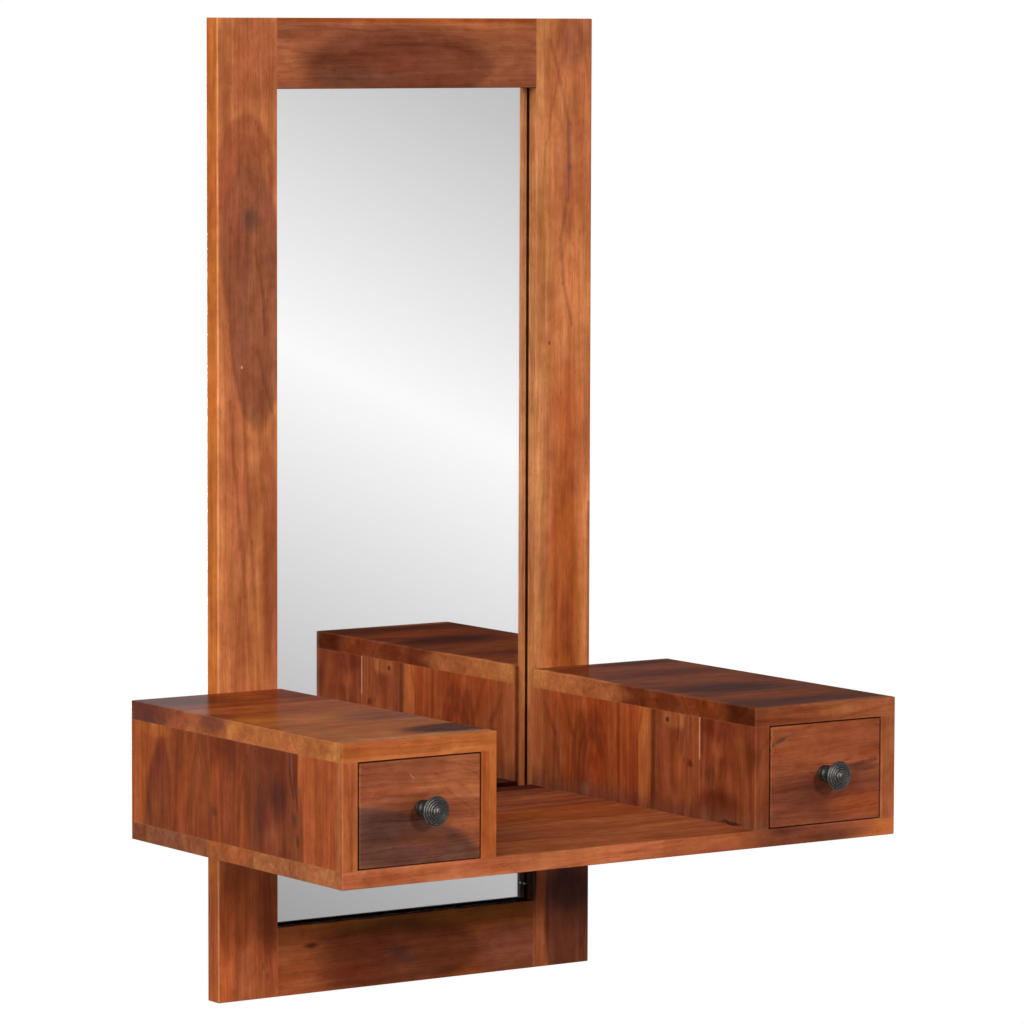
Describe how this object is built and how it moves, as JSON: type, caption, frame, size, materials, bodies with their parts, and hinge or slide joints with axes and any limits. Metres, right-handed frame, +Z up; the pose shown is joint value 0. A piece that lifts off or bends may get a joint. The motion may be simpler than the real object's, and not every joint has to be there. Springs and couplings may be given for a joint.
{
  "type": "wall mirror with drawers",
  "caption": "Tall hardwood-framed wall mirror with a shelf across it and a small drawer box with a round knob at each end.",
  "frame": {"origin": "on the wall plane, midway between the two keyholes that the frame hangs by", "axes": "+X to the right of someone who faces the mirror, +Y into the wall, +Z up"},
  "size_m": [0.6, 0.404, 0.905],
  "materials": {
    "frame_wood": "lacquered, satin gloss",
    "shelf_wood": "lacquered, satin gloss",
    "box_wood": "lacquered, satin gloss",
    "drawer_front_wood": "lacquered, satin gloss",
    "drawer_wood": "planed, thin clear coat",
    "drawer_bottom_board": "plywood, sanded",
    "dowel_wood": "raw, fluted",
    "panel_board": "hardboard, raw",
    "mirror_glass": "clear float glass, polished",
    "mirror_silver": "silvered",
    "steel": "zinc plated",
    "knob_iron": "blackened, waxed"
  },
  "bodies": {
    "cabinet": {"left_stile": "frame_wood", "right_stile": "frame_wood", "top_rail": "frame_wood", "bottom_rail": "frame_wood", "frame_dowels": "dowel_wood", "mirror_glass": "mirror_glass", "mirror_silvering": "mirror_silver", "back_panel": "panel_board", "panel_brads": "steel", "glass_pins": "steel", "keyhole_plates": "steel", "keyhole_screws": "steel", "shelf_board": "shelf_wood", "shelf_screws": "steel", "box_screws": "steel", "left_box_outer_side": "box_wood", "left_box_inner_side": "box_wood", "left_box_top": "box_wood", "left_box_back": "box_wood", "left_box_dowels": "dowel_wood", "left_drawer_stop": "box_wood", "right_box_outer_side": "box_wood", "right_box_inner_side": "box_wood", "right_box_top": "box_wood", "right_box_back": "box_wood", "right_box_dowels": "dowel_wood", "right_drawer_stop": "box_wood"},
    "left_drawer": {"left_drawer_front": "drawer_front_wood", "left_drawer_outer_side": "drawer_wood", "left_drawer_inner_side": "drawer_wood", "left_drawer_back": "drawer_wood", "left_drawer_bottom": "drawer_bottom_board", "left_drawer_dowels": "dowel_wood", "left_drawer_pins": "steel", "left_knob": "knob_iron", "left_knob_screw": "steel"},
    "right_drawer": {"right_drawer_front": "drawer_front_wood", "right_drawer_outer_side": "drawer_wood", "right_drawer_inner_side": "drawer_wood", "right_drawer_back": "drawer_wood", "right_drawer_bottom": "drawer_bottom_board", "right_drawer_dowels": "dowel_wood", "right_drawer_pins": "steel", "right_knob": "knob_iron", "right_knob_screw": "steel"}
  },
  "joints": [
    {"name": "left_drawer_slide", "type": "slide", "parent": "cabinet", "child": "left_drawer", "axis": [0, -1, 0], "range_m": [0, 0.24]},
    {"name": "right_drawer_slide", "type": "slide", "parent": "cabinet", "child": "right_drawer", "axis": [0, -1, 0], "range_m": [0, 0.24]}
  ]
}
